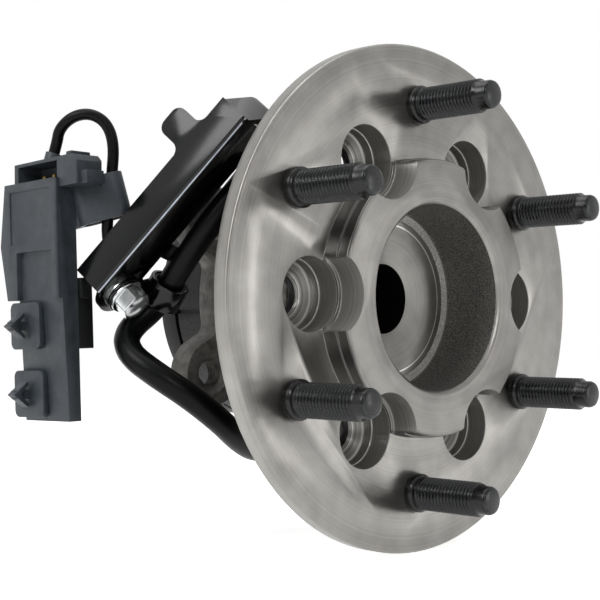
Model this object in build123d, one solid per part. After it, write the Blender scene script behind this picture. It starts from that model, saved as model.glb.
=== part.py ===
from build123d import *
import math
import os

# Wheel hub bearing with its speed sensor harness. Millimetres.
# The wheel turns about the Y axis. The wheel mounting face is the plane y = 0,
# outboard is -Y, inboard is +Y and up is +Z. Angles are measured from +X towards +Z.

# Clearances
running_gap = 0.3
ball_gap = 0.03
pocket_gap = 0.15
seat_gap = 0.3
cable_gap = 0.5

# Hub flange
flange_radius = 91.3
flange_thick = 6.35
flange_edge_break = 0.8
stud_zone_radius = 78.0
stud_zone_thick = 12.0
stud_zone_ramp = 4.0
rotor_pilot_radius = 50.0
rotor_pilot_reach = 6.0
wheel_pilot_radius = 49.3
wheel_pilot_reach = 11.2
wheel_pilot_break = 1.0
bore_radius = 33.2
bore_mouth_break = 1.3
dish_land_radius = 29.3
dish_land_depth = 13.0
dish_radius = 12.9
dish_depth = 17.0
centre_hole_depth = 58.0
barrel_radius = 44.0
barrel_depth = 18.0
shoulder_radius = 36.0
shoulder_depth = 20.5
journal_radius = 31.5
tone_seat_radius = 28.1
tone_shoulder_depth = 47.5
spindle_radius = 22.5
spindle_thread_radius = 20.0
spindle_end_break = 1.5

# Stepped access holes and the pilot notches in front of them
access_count = 6
access_circle_radius = 54.3
access_mouth_radius = 12.75
access_mouth_depth = 8.3
access_step_radius = 12.2
access_step_depth = 12.0
access_cone_outer = 11.7
access_cone_inner = 8.3
access_cone_depth = 14.0
access_through_radius = 6.9
access_through_depth = 15.2
access_boss_radius = 17.0
notch_radius = 14.0
notch_depth = 0.8

# Wheel studs
stud_count = 6
stud_circle_radius = 69.85
stud_first_angle = 30.0
stud_radius = 6.0
stud_reach = 34.2
stud_nose_radius = 4.95
stud_nose_length = 4.0
stud_knurl_radius = 6.6
stud_head_radius = 9.0
stud_head_thick = 4.0

# Ball rows
ball_count = 13
ball_radius = 6.35
ball_first_angle = 12.0
pitch_radius = 34.0
outboard_row = 34.0
inboard_row = 55.0
cage_inner_radius = 32.4
cage_outer_radius = 35.6
cage_web_offset = 7.6
cage_finger_reach = 3.5
inner_ring_end = 65.0
tone_ring_radius = 33.2
tone_ring_start = 41.5
tone_ring_end = 46.5
tone_tooth_count = 44
tone_tooth_depth = 1.6
lock_washer_radius = 31.0
lock_washer_thick = 2.0
lock_nut_thick = 9.0
lock_nut_flats = 55.0
spindle_end_reach = 2.0
spindle_depth = inner_ring_end + lock_washer_thick
spindle_end_depth = spindle_depth + lock_nut_thick + spindle_end_reach

# Bearing housing
housing_radius = 46.0
housing_front = 22.0
ear_plate_front = 52.0
ear_plate_back = 60.0
ear_plate_radius = 52.0
ear_radius = 13.0
ear_circle_radius = 59.0
ear_angle = 28.0
ear_root_fillet = 4.5
ear_hole_radius = 5.1
ear_hole_break = 2.1
knuckle_pilot_end = 81.0
housing_land_radius = 36.4
housing_track_radius = 40.05
housing_seal_radius = 41.0
seal_seat_depth = 27.4
cover_seat_depth = 63.0
barrel_slot_width = 1.6
barrel_slot_height = -5.0
barrel_slot_depth = 1.0
barrel_slot_start = 64.0
barrel_slot_end = 80.0

# Seals and inboard cover
seal_front = 22.2
seal_back = 26.0
seal_wall = 1.6
slinger_radius = 39.5
slinger_thick = 0.8
slinger_foot = 3.0
cover_wall = 2.4
cover_lip_start = 76.0
cover_neck_radius = 44.5
cover_neck_length = 1.2
cover_radius = 45.8
cover_rim_end = 90.0
cover_end = 93.0
cover_end_radius = 42.0
cover_rib_count = 12
cover_rib_width = 4.0
cover_rib_height = 1.4
cover_rib_first_angle = 180.0 / cover_rib_count
cover_ring_radius = 26.0
cover_ring_inner = 22.0

# Wheel speed sensor
sensor_angle = 265.0
sensor_depth = 44.5
sensor_air_gap = 0.8
sensor_nose_radius = 3.9
sensor_pad_height = 52.0
sensor_plate_thick = 3.0
sensor_plate_radius = 7.0
sensor_screw_offset = 15.0
sensor_screw_radius = 2.5
sensor_screw_head = 4.6
sensor_screw_head_height = 3.2
sensor_screw_socket = 2.3
sensor_screw_socket_floor = 1.4
sensor_screw_length = 9.0
sensor_body_radius = 6.5
sensor_body_height = 8.0
sensor_boot_rise = 6.5
sensor_boot_height = sensor_pad_height + sensor_boot_rise
sensor_boot_start = 6.0
sensor_boot_end = 20.0
sensor_boot_radius = 5.4
sensor_boot_ring_count = 3
sensor_boot_ring_first = 4.0
sensor_boot_ring_step = 3.0
sensor_boot_ring_width = 1.2
sensor_boot_ring_height = 0.6

# Cable bracket: a bent angle whose outer corner line starts at bracket_origin
bracket_origin = (-97.9, 59.0, 0.2)
bracket_along = (0.3656, -0.5528, 0.7488)
bracket_edgeway = (-0.192, 0.7424, 0.6418)
sheet_thick = 2.0
bend_radius = 1.8
strip_length = 78.0
strip_width = 12.5
web_width = 16.5
lobe_radius = 9.5
bolt_along = 4.0
bolt_across = 10.5
side_tab_start = 55.0
side_tab_width = 11.0
side_tab_reach = 24.5
side_tab_fillet = 3.5
top_tab_length = 17.0
top_tab_angle = 63.0
rest_tab_start = 21.0
rest_tab_width = 6.0
rest_tab_reach = 27.0

# Clamp bolt stack on the bracket
clamp_bolt_radius = 3.0
clamp_bolt_hole = 3.2
clamp_bolt_end = 10.0
clamp_nut_thick = 4.5
hex_flats = 10.0
washer_radius = 7.0
washer_thick = 1.6
clamp_sheet = 1.2
clamp_width = 9.0
bolt_flange_radius = 6.5
bolt_flange_thick = 1.2
bolt_head_height = 5.4
cushion_thick = 1.0

# Cables, with routes chosen by hand
conduit_radius = 4.6
lead_radius = 2.0
conduit_straight = 13.0
conduit_route = [
    (-51.0, 38.5, -51.0),
    (-63.5, 34.5, -43.5),
    (-75.0, 37.5, -34.8),
    (-83.5, 45.5, -27.3),
    (-87.0, 56.0, -20.5),
    (-82.3, 64.0, -13.0),
    (-71.0, 60.7, -3.6),
    (-70.0, 53.4, 6.0),
    (-67.9, 44.0, 17.8),
    (-63.9, 36.0, 28.5),
    (-57.6, 31.0, 38.5),
    (-50.5, 31.3, 46.6),
    (-44.3, 37.8, 53.2),
]
clip_point_count = 8
sleeve_length = 12.0
sleeve_step = 6.0
sleeve_radius = 5.6
sleeve_straight = 9.5
lead_route = [
    (-30.4, 60.5, 67.7),
    (-33.4, 70.0, 64.2),
    (-40.6, 76.1, 56.1),
    (-50.0, 75.0, 45.0),
    (-57.5, 77.5, 33.5),
    (-63.0, 78.0, 24.5),
    (-68.0, 76.3, 15.3),
    (-74.0, 72.9, 9.5),
    (-81.8, 68.5, 8.7),
    (-88.4, 64.9, 13.8),
    (-91.7, 63.1, 21.5),
    (-91.4, 62.2, 30.5),
    (-90.8, 61.6, 41.0),
    (-90.4, 61.0, 52.0),
    (-92.2, 62.7, 59.4),
    (-96.2, 66.7, 62.9),
    (-100.2, 71.9, 62.0),
    (-102.3, 76.9, 57.8),
]
gland_spot = (-3.1, 4.0, 9.6)
gland_direction = (0.18, -0.17, 0.97)
gland_radius = 2.9
gland_length = 3.5
gland_straight = 4.0

# Connector carrier, leaning slightly off upright
carrier_origin = (-102.6, 68.0, -44.0)
carrier_up = (-0.03, 0.025, 0.999)
carrier_depth = 4.8
carrier_width = 26.8
carrier_shelf = 42.6
carrier_shelf_width = 31.2
carrier_bulge_width = 35.0
carrier_bulge_height = 62.0
carrier_top_width = 31.4
carrier_height = 84.0
carrier_front = 3.6
carrier_lower_front = 1.5
carrier_edge = 0.8
window_start = 3.8
window_width = 21.0
window_height = 16.8
window_depth = 2.2
panel_margin = 3.0
panel_depth = 0.5
clip_plate_width = 18.0
clip_plate_height = 16.5
clip_plate_thick = 2.2
clip_heights = (9.5, 33.5)
clip_across = 21.0
clip_stem = 3.2
clip_stem_width = 2.4
clip_reach = 7.4
clip_barb = 9.4
clip_barb_width = 4.4
clip_barb_thick = 1.5
clip_barb_gap = 1.4
clip_plate_corner = 2.5

# Connector body on top of the carrier
socket_origin = (-107.0, 77.0, 36.5)
socket_right = (0.0, -0.9993, 0.0366)
socket_away = (1.0, 0.0, 0.0)
socket_left_end = -21.0
socket_right_end = 17.4
socket_height = 10.5
socket_depth = 11.0
socket_wall = 1.2
socket_mouth = 24.0
socket_mouth_margin = 3.0
socket_end_break = 2.5
latch_width = 3.2
latch_height = 4.5
latch_step = 3.4
latch_inset = 5.0
latch_length = 8.0
latch_thick = 1.2
latch_margin = 0.4
terminal_spacing = 6.0
terminal_width = 1.6
terminal_length = 5.0
terminal_thick = 0.8

# Strap that holds the lead
strap_origin = (-93.2, 64.4, 33.0)
strap_right = (0.6907, -0.6750, 0.2588)
strap_away = (0.699, 0.7151, 0.0)
strap_length = 18.4
strap_depth = 8.6
strap_height = 15.5
strap_wall = 1.4
strap_corner = 0.2
strap_arm_length = 6.0
strap_arm_depth = 3.0
strap_arm_inset = 1.2
rear_clip_width = 6.8
rear_clip_depth = 5.5
rear_clip_bottom = 25.0
rear_clip_top = 48.0
rear_clip_wall = 1.2


def slab(sketch, start, end):
    """Extrude a sketch drawn in X and Z from y = start to y = end."""
    return extrude(Plane.XZ.offset(-end) * sketch, amount=end - start)


def post(radius, start, end, x=0.0, z=0.0):
    """A round bar along Y."""
    return slab(Pos(x, z) * Circle(radius), start, end)


def turned(*profile):
    """A solid turned about Y from corners given as (radius, y)."""
    face = make_face(Polyline(*profile, close=True))
    return revolve(face, axis=Axis.Y)


def polar(radius, angle):
    """X and Z of a point at a radius and angle about the wheel axis."""
    turn = math.radians(angle)
    return radius * math.cos(turn), radius * math.sin(turn)


def spaced(count, first=0.0):
    """Angles of an evenly spaced ring."""
    return [first + index * 360.0 / count for index in range(count)]


def shifted(shape, radius, angle):
    """Move a shape made on the wheel axis out to a place on a circle."""
    x, z = polar(radius, angle)
    return Pos(x, 0, z) * shape


def track(row):
    """The groove that one row of balls runs in."""
    return Pos(0, row, 0) * Rot(90, 0, 0) * Torus(pitch_radius, ball_radius + ball_gap)


def save(shape, name):
    """Write one node."""
    shape.label = name
    export_step(shape, "parts/" + name + ".step")


def access_cutter():
    """Notch, stepped mouth, cone and through hole, cut in one go."""
    through = access_through_radius
    return turned(
        (0, -wheel_pilot_reach - 1),
        (notch_radius, -wheel_pilot_reach - 1),
        (notch_radius, -notch_depth),
        (access_mouth_radius, -notch_depth),
        (access_mouth_radius, access_mouth_depth),
        (access_step_radius, access_mouth_depth),
        (access_step_radius, access_step_depth),
        (access_cone_outer, access_step_depth),
        (access_cone_inner, access_cone_depth),
        (through, access_through_depth),
        (through, shoulder_depth + 1),
        (0, shoulder_depth + 1),
    )


def hub_flange():
    """Flange, pilots, dished bore and spindle in one forging."""
    body = turned(
        (0, centre_hole_depth),
        (dish_radius, centre_hole_depth),
        (dish_radius, dish_depth),
        (dish_land_radius, dish_land_depth + 0.3),
        (bore_radius, dish_land_depth),
        (bore_radius, -wheel_pilot_reach + bore_mouth_break),
        (bore_radius + bore_mouth_break, -wheel_pilot_reach),
        (wheel_pilot_radius - wheel_pilot_break, -wheel_pilot_reach),
        (wheel_pilot_radius, -wheel_pilot_reach + wheel_pilot_break),
        (wheel_pilot_radius, -rotor_pilot_reach),
        (rotor_pilot_radius, -rotor_pilot_reach),
        (rotor_pilot_radius, 0),
        (flange_radius - flange_edge_break, 0),
        (flange_radius, flange_edge_break),
        (flange_radius, flange_thick),
        (stud_zone_radius + stud_zone_ramp, flange_thick),
        (stud_zone_radius, stud_zone_thick),
        (barrel_radius + 2, stud_zone_thick),
        (barrel_radius, barrel_depth),
        (shoulder_radius, barrel_depth),
        (shoulder_radius, shoulder_depth),
        (journal_radius, shoulder_depth),
        (journal_radius, outboard_row),
        (tone_seat_radius, outboard_row),
        (tone_seat_radius, tone_shoulder_depth),
        (spindle_radius, tone_shoulder_depth),
        (spindle_radius, spindle_depth),
        (spindle_thread_radius, spindle_depth),
        (spindle_thread_radius, spindle_end_depth - spindle_end_break),
        (spindle_thread_radius - spindle_end_break, spindle_end_depth),
        (0, spindle_end_depth),
    )
    boss = post(access_boss_radius, stud_zone_thick - 1, barrel_depth)
    cutter = access_cutter()
    stud_hole = post(stud_knurl_radius, -1, stud_zone_thick + 1)
    angles = spaced(access_count)
    body += [shifted(boss, access_circle_radius, angle) for angle in angles]
    body -= [shifted(cutter, access_circle_radius, angle) for angle in angles]
    body -= [
        shifted(stud_hole, stud_circle_radius, angle)
        for angle in spaced(stud_count, stud_first_angle)
    ]
    return body - track(outboard_row)


def wheel_studs():
    """Six pressed studs with a dog point."""
    nose = stud_nose_radius
    stud = turned(
        (0, -stud_reach),
        (nose - 1.0, -stud_reach),
        (nose, -stud_reach + 1.0),
        (nose, -stud_reach + stud_nose_length),
        (stud_radius, -stud_reach + stud_nose_length + 1.0),
        (stud_radius, 0),
        (stud_knurl_radius, 0),
        (stud_knurl_radius, stud_zone_thick),
        (stud_head_radius, stud_zone_thick),
        (stud_head_radius, stud_zone_thick + stud_head_thick),
        (0, stud_zone_thick + stud_head_thick),
    )
    angles = spaced(stud_count, stud_first_angle)
    return Compound([shifted(stud, stud_circle_radius, angle) for angle in angles])


def inner_ring():
    """Pressed ring that carries the inboard balls."""
    ring = turned(
        (spindle_radius, tone_shoulder_depth),
        (tone_seat_radius, tone_shoulder_depth),
        (tone_seat_radius, inboard_row),
        (journal_radius, inboard_row),
        (journal_radius, inner_ring_end),
        (spindle_radius, inner_ring_end),
    )
    return ring - track(inboard_row)


def tone_ring():
    """Toothed ring that the sensor reads."""
    ring = post(tone_ring_radius, tone_ring_start, tone_ring_end)
    ring -= post(tone_seat_radius, tone_ring_start, tone_ring_end)
    gap_width = math.pi * tone_ring_radius / tone_tooth_count
    gap = Pos(tone_ring_radius, 0) * Rectangle(2 * tone_tooth_depth, gap_width)
    gaps = Sketch() + [Rot(0, 0, angle) * gap for angle in spaced(tone_tooth_count)]
    return ring - slab(gaps, tone_ring_start, tone_ring_end)


def spindle_washer():
    """Thrust washer under the spindle nut."""
    washer = post(lock_washer_radius, inner_ring_end, spindle_depth)
    return washer - post(spindle_radius, inner_ring_end, spindle_depth)


def spindle_nut():
    """Hexagon nut that closes the bearing."""
    end = spindle_depth + lock_nut_thick
    outline = RegularPolygon(lock_nut_flats / 2, 6, major_radius=False)
    round_off = turned(
        (0, spindle_depth),
        (lock_nut_flats / 2 + 4.5, spindle_depth),
        (lock_nut_flats / 2 + 4.5, end - 2.5),
        (lock_nut_flats / 2 + 0.5, end),
        (0, end),
    )
    nut = slab(outline, spindle_depth, end) & round_off
    return nut - post(spindle_thread_radius, spindle_depth, end)


def seal_slinger():
    """Thin steel thrower on the hub journal."""
    back = shoulder_depth + slinger_thick
    return turned(
        (journal_radius, shoulder_depth),
        (slinger_radius, shoulder_depth),
        (slinger_radius, back),
        (journal_radius + slinger_thick, back),
        (journal_radius + slinger_thick, shoulder_depth + slinger_foot),
        (journal_radius, shoulder_depth + slinger_foot),
    )


def ball_row(row):
    """One row of balls."""
    ball = Pos(pitch_radius, row, 0) * Rot(90, 0, 0) * Sphere(ball_radius)
    return Compound([Rot(0, angle, 0) * ball for angle in spaced(ball_count, ball_first_angle)])


def ball_cage(row, web_side):
    """Snap-in cage: a web on one side and fingers between the balls."""
    web = row + web_side * cage_web_offset
    tip = row - web_side * cage_finger_reach
    low = min(web, tip)
    high = max(web, tip)
    ring = post(cage_outer_radius, low, high) - post(cage_inner_radius, low, high)
    pocket = Pos(pitch_radius, row, 0) * Rot(90, 0, 0) * Sphere(ball_radius + pocket_gap)
    for angle in spaced(ball_count, ball_first_angle):
        ring -= Rot(0, angle, 0) * pocket
    return ring


def ear_plate_outline():
    """Round plate with four ears and filleted roots."""
    angles = (ear_angle, 180 - ear_angle, 180 + ear_angle, 360 - ear_angle)
    outline = Circle(ear_plate_radius)
    for angle in angles:
        arm = Pos(ear_circle_radius / 2, 0) * Rectangle(ear_circle_radius, 2 * ear_radius)
        tip = Pos(ear_circle_radius, 0) * Circle(ear_radius)
        outline += Rot(0, 0, angle) * arm
        outline += Rot(0, 0, angle) * tip
    roots = [v for v in outline.vertices() if abs(math.hypot(v.X, v.Y) - ear_plate_radius) < 0.01]
    return fillet(roots, ear_root_fillet)


def sensor_frame(height):
    """Frame on the sensor axis: Z out from the wheel axis, X inboard."""
    x, z = polar(1.0, sensor_angle)
    origin = (height * x, sensor_depth, height * z)
    return Plane(origin=origin, x_dir=(0, 1, 0), z_dir=(x, 0, z))


def sensor_outline(margin=0.0):
    """Foot print of the sensor plate and of the pad under it."""
    nose_end = Circle(sensor_plate_radius + margin)
    screw_end = Pos(0, sensor_screw_offset) * Circle(sensor_plate_radius - 1 + margin)
    return make_hull((nose_end + screw_end).edges())


def bearing_housing():
    """Outer ring with its bolt ears, knuckle pilot and sensor pad."""
    body = turned(
        (housing_seal_radius, housing_front),
        (housing_radius - 1.5, housing_front),
        (housing_radius, housing_front + 1.5),
        (housing_radius, knuckle_pilot_end - 1),
        (housing_radius - 1, knuckle_pilot_end),
        (housing_seal_radius, knuckle_pilot_end),
        (housing_seal_radius, cover_seat_depth),
        (housing_track_radius, cover_seat_depth),
        (housing_track_radius, inboard_row),
        (housing_land_radius, inboard_row),
        (housing_land_radius, outboard_row),
        (housing_track_radius, outboard_row),
        (housing_track_radius, seal_seat_depth),
        (housing_seal_radius, seal_seat_depth),
    )
    plate = slab(ear_plate_outline(), ear_plate_front, ear_plate_back)
    plate -= post(housing_radius - 2, ear_plate_front, ear_plate_back)
    plate = chamfer(plate.faces().sort_by(Axis.Y)[0].outer_wire().edges(), 1.2)
    pad = extrude(sensor_frame(housing_radius - 4) * sensor_outline(0.8),
                  amount=sensor_pad_height - housing_radius + 4)
    body += plate
    body += pad
    hole = turned(
        (0, ear_plate_front - 1),
        (ear_hole_radius + ear_hole_break + 1, ear_plate_front - 1),
        (ear_hole_radius, ear_plate_front + ear_hole_break),
        (ear_hole_radius, ear_plate_back + 1),
        (0, ear_plate_back + 1),
    )
    for angle in (ear_angle, 180 - ear_angle, 180 + ear_angle, 360 - ear_angle):
        body -= shifted(hole, ear_circle_radius, angle)
    nose_hole = sensor_frame(housing_land_radius - 2) * Circle(sensor_nose_radius + 0.1)
    body -= extrude(nose_hole, amount=sensor_pad_height)
    screw_hole = Pos(0, sensor_screw_offset) * Circle(sensor_screw_radius)
    screw_start = sensor_pad_height - sensor_screw_length + sensor_plate_thick
    body -= extrude(sensor_frame(screw_start) * screw_hole, amount=sensor_screw_length)
    slot = Pos(-housing_radius, barrel_slot_height) * Rectangle(2 * barrel_slot_depth, barrel_slot_width)
    body -= slab(slot, barrel_slot_start, barrel_slot_end)
    return body - track(outboard_row) - track(inboard_row)


def outboard_seal():
    """Seal case with a lip that runs on the slinger foot."""
    lip = journal_radius + slinger_thick + running_gap
    return turned(
        (housing_seal_radius, seal_front),
        (housing_seal_radius, seal_back),
        (housing_seal_radius - seal_wall, seal_back),
        (housing_seal_radius - seal_wall, seal_front + seal_wall),
        (lip + 1.4, seal_front + seal_wall),
        (lip, seal_front + seal_wall - 0.4),
        (lip, seal_front),
    )


def inboard_cover():
    """Pressed cap that closes the knuckle side."""
    lip = housing_seal_radius
    neck_end = knuckle_pilot_end + cover_neck_length
    inner = lip - cover_wall
    cap = turned(
        (0, cover_end),
        (cover_end_radius, cover_end),
        (cover_radius, cover_rim_end),
        (cover_radius, neck_end),
        (cover_neck_radius, neck_end),
        (cover_neck_radius, knuckle_pilot_end),
        (lip, knuckle_pilot_end),
        (lip, cover_lip_start),
        (inner, cover_lip_start),
        (inner, cover_rim_end - cover_wall),
        (inner - 2, cover_end - cover_wall),
        (0, cover_end - cover_wall),
    )
    rib_length = cover_end_radius - cover_ring_inner
    rib = Pos(cover_ring_inner + rib_length / 2, 0) * Rectangle(rib_length, cover_rib_width)
    angles = spaced(cover_rib_count, cover_rib_first_angle)
    ribs = Sketch() + [Rot(0, 0, angle) * rib for angle in angles]
    ring = Circle(cover_ring_radius) - Circle(cover_ring_inner)
    cap += slab(ribs + ring, cover_end - 0.1, cover_end + cover_rib_height)
    return cap


def abs_sensor():
    """Speed sensor: nose, fixing plate and moulded body."""
    tip = tone_ring_radius + sensor_air_gap
    nose = extrude(sensor_frame(tip) * Circle(sensor_nose_radius), amount=sensor_pad_height - tip)
    plate = extrude(sensor_frame(sensor_pad_height) * sensor_outline(), amount=sensor_plate_thick)
    body_start = sensor_pad_height + sensor_plate_thick
    body = extrude(sensor_frame(body_start) * Circle(sensor_body_radius), amount=sensor_body_height)
    body = fillet(body.faces().sort_by(Axis.Z)[0].edges(), 1.5)
    screw_hole = Pos(0, sensor_screw_offset) * Circle(sensor_screw_radius)
    plate -= extrude(sensor_frame(sensor_pad_height) * screw_hole, amount=sensor_plate_thick)
    return nose + plate + body


def sensor_screw():
    """Screw that holds the sensor down."""
    top = sensor_pad_height + sensor_plate_thick
    spot = Pos(0, sensor_screw_offset)
    start = sensor_pad_height - sensor_screw_length + sensor_plate_thick
    shank = extrude(sensor_frame(start) * (spot * Circle(sensor_screw_radius)), amount=top - start)
    head_outline = spot * Circle(sensor_screw_head)
    head = extrude(sensor_frame(top) * head_outline, amount=sensor_screw_head_height)
    hexagon = spot * RegularPolygon(sensor_screw_socket, 6)
    floor = sensor_frame(top + sensor_screw_socket_floor)
    return shank + head - extrude(floor * hexagon, amount=sensor_screw_head_height)


def boot_frame(offset):
    """Frame on the boot axis, pointing away from the sensor body."""
    base = sensor_frame(sensor_boot_height)
    return Plane(origin=base.origin - base.y_dir * offset, x_dir=base.z_dir, z_dir=-base.y_dir)


def sensor_boot():
    """Tapered rubber boot between the sensor and the conduit."""
    start = boot_frame(sensor_boot_start - 1)
    end = boot_frame(sensor_boot_end)
    mouth = Circle(conduit_radius + sensor_boot_ring_height)
    cone = loft([start * Circle(sensor_boot_radius), end * mouth])
    band = Circle(sensor_boot_radius + sensor_boot_ring_height) - Circle(conduit_radius)
    for index in range(sensor_boot_ring_count):
        offset = sensor_boot_start + sensor_boot_ring_first + index * sensor_boot_ring_step
        cone += extrude(boot_frame(offset) * band, amount=sensor_boot_ring_width)
    return cone - abs_sensor()


def turn_radii(points):
    """Largest arc that fits each corner of a route, by the shorter of its two runs."""
    radii = []
    for before, here, after in zip(points, points[1:], points[2:]):
        run_in = Vector(*here) - Vector(*before)
        run_out = Vector(*after) - Vector(*here)
        half_turn = math.radians(run_in.get_angle(run_out)) / 2
        radii.append(0.45 * min(run_in.length, run_out.length) / math.tan(half_turn))
    return radii


def cable(points, radius, name):
    """A plain round cable along straight runs joined by tangent arcs."""
    radii = turn_radii(points)
    path = FilletPolyline(*points, radius=radii)
    start = Plane(origin=path @ 0, z_dir=path % 0)
    tube = sweep(start * Circle(radius), path=path)
    expected = math.pi * radius ** 2 * path.length
    print(name, "length", round(path.length, 1), "volume ratio", round(tube.volume / expected, 4))
    print(name, "radii", [round(value, 1) for value in radii])
    return tube


def full_conduit_route():
    """The conduit starts straight out of the sensor boot."""
    start = boot_frame(sensor_boot_end)
    straight = start.offset(conduit_straight)
    return [tuple(start.origin), tuple(straight.origin)] + conduit_route


def conduit_end():
    """Frame at the far end of the conduit, pointing onward."""
    last = Vector(*conduit_route[-1])
    return Plane(origin=last, z_dir=last - Vector(*conduit_route[-2]))


def conduit_end_sleeve():
    """Stepped grommet where the conduit narrows to the lead."""
    frame = conduit_end()
    wide = Circle(sleeve_radius)
    narrow = Circle(lead_radius + 1.2)
    collar = extrude(frame * wide, amount=sleeve_step)
    neck = loft([frame.offset(sleeve_step) * narrow.scale(1.4), frame.offset(sleeve_length) * narrow])
    return collar + neck


def gland_frame():
    """Frame at the foot of the gland on the connector body, pointing out of it."""
    spot = socket_frame().from_local_coords(gland_spot)
    return Plane(origin=spot, z_dir=gland_direction)


def full_lead_route():
    """The lead starts at the sleeve and ends at the gland of the connector."""
    start = conduit_end().offset(sleeve_length)
    end = gland_frame().offset(gland_length)
    way_out = [tuple(start.origin), tuple(start.offset(sleeve_straight).origin)]
    way_in = [tuple(end.offset(gland_straight).origin), tuple(end.origin)]
    return way_out + lead_route + way_in


def bracket_frame():
    """X along the corner line, Y across the web, Z across the visible strip."""
    return Plane(origin=bracket_origin, x_dir=bracket_along, z_dir=bracket_edgeway)


def cable_bracket():
    """Bent angle with its side tab, top tab, bolt lobe and cable rest."""
    strip = Pos(strip_length / 2, strip_width / 2) * Rectangle(strip_length, strip_width)
    tab_middle = side_tab_start + side_tab_width / 2
    strip += Pos(tab_middle, side_tab_reach / 2) * Rectangle(side_tab_width, side_tab_reach)
    tips = [v for v in strip.vertices() if abs(v.Y - side_tab_reach) < 0.01]
    strip = fillet(tips, side_tab_fillet)
    roots = [v for v in strip.vertices() if abs(v.Y - strip_width) < 0.01
             and abs(v.X - tab_middle) < side_tab_width]
    strip = fillet(roots, side_tab_fillet)
    plate = slab(strip, 0, sheet_thick)

    web = Pos(strip_length / 2, web_width / 2) * Rectangle(strip_length, web_width)
    web += Pos(rest_tab_start + rest_tab_width / 2, rest_tab_reach / 2) * RectangleRounded(
        rest_tab_width, rest_tab_reach, 1.5)
    web += Pos(bolt_along, bolt_across) * Circle(lobe_radius)
    web -= Pos(bolt_along, bolt_across) * Circle(clamp_bolt_hole)
    plate += extrude(web, amount=sheet_thick)
    corner = [e for e in plate.edges().filter_by(Axis.X)
              if abs(e.center().Y) < 0.01 and abs(e.center().Z) < 0.01]
    plate = fillet(corner, bend_radius)

    top = Pos(top_tab_length / 2, strip_width / 2) * Rectangle(top_tab_length, strip_width)
    ends = [v for v in top.vertices() if v.X > top_tab_length - 0.01]
    top = slab(fillet(ends, 2.0), 0, sheet_thick)
    plate += Pos(strip_length - sheet_thick / 2, 0, 0) * Rot(0, 0, top_tab_angle) * top
    return bracket_frame().location * plate


def bolt_axis(drop):
    """Frame on the clamp bolt axis, drop mm in front of the web."""
    base = bracket_frame()
    spot = base.from_local_coords((bolt_along, bolt_across, -drop))
    return Plane(origin=spot, x_dir=base.x_dir, z_dir=-base.z_dir)


def clamp_washer():
    """Plain washer between the web and the clamp."""
    outline = Circle(washer_radius) - Circle(clamp_bolt_hole)
    return extrude(bolt_axis(0) * outline, amount=washer_thick)


def clip_frame():
    """Frame where the clamp holds the conduit, Z along the conduit."""
    route = full_conduit_route()
    here = Vector(*route[clip_point_count])
    after = Vector(*route[clip_point_count + 1])
    return Plane(origin=(here + after) / 2, z_dir=after - here)


def clamp_cushion():
    """Rubber lining between the clamp band and the conduit."""
    inner = conduit_radius + cable_gap
    outline = Circle(inner + cushion_thick) - Circle(inner)
    length = clamp_width - 1
    return extrude(clip_frame().offset(-length / 2) * outline, amount=length)


def cable_clamp():
    """Sheet band round the conduit with a tab under the bolt."""
    inner = conduit_radius + cable_gap + cushion_thick
    frame = clip_frame()
    band = extrude(frame.offset(-clamp_width / 2) * Circle(inner + clamp_sheet), amount=clamp_width)
    seat = bolt_axis(washer_thick)
    centre = seat.to_local_coords(frame.origin)
    reach = math.hypot(centre.X, centre.Y)
    arm = Pos(reach / 2, 0) * Rectangle(reach, clamp_width)
    tab = Rot(0, 0, math.degrees(math.atan2(centre.Y, centre.X))) * arm
    tab += Circle(washer_radius)
    tab -= Circle(clamp_bolt_hole)
    clamp = band + extrude(seat * tab, amount=clamp_sheet)
    return clamp - extrude(frame.offset(-2 * clamp_width) * Circle(inner), amount=4 * clamp_width)


def bracket_bolt():
    """Flanged hexagon bolt."""
    seat = washer_thick + clamp_sheet
    shank = extrude(bolt_axis(-clamp_bolt_end) * Circle(clamp_bolt_radius), amount=clamp_bolt_end + seat)
    flange = extrude(bolt_axis(seat) * Circle(bolt_flange_radius), amount=bolt_flange_thick)
    head_start = bolt_axis(seat + bolt_flange_thick)
    outline = RegularPolygon(hex_flats / 2, 6, major_radius=False)
    head = extrude(head_start * outline, amount=bolt_head_height)
    cone = extrude(head_start * Circle(hex_flats / 2 + 3.2), amount=bolt_head_height, taper=24)
    return shank + flange + (head & cone)


def bracket_nut():
    """Nut behind the web."""
    outline = RegularPolygon(hex_flats / 2, 6, major_radius=False) - Circle(clamp_bolt_radius)
    return extrude(bolt_axis(-sheet_thick - clamp_nut_thick) * outline, amount=clamp_nut_thick)


def carrier_frame():
    """X from front to back, Y across the front face, Z up."""
    up = Vector(*carrier_up)
    across = up.cross(Vector(1, 0, 0)).normalized()
    return Plane(origin=carrier_origin, x_dir=across.cross(up), z_dir=up)


def socket_frame():
    """Frame of the connector body: X right, Y away, Z up as the camera side sees it."""
    right = Vector(*socket_right)
    away = Vector(*socket_away)
    return Plane(origin=socket_origin, x_dir=right, z_dir=right.cross(away))


def strap_frame():
    """Frame of the lead strap: X along it, Y through it, Z up."""
    right = Vector(*strap_right)
    return Plane(origin=strap_origin, x_dir=right, z_dir=right.cross(Vector(*strap_away)))


def socket_block():
    """Outer block of the connector body, in its own frame."""
    width = socket_right_end - socket_left_end
    middle = (socket_left_end + socket_right_end) / 2
    return Pos(middle, socket_depth / 2, socket_height / 2) * Box(width, socket_depth, socket_height)


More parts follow.
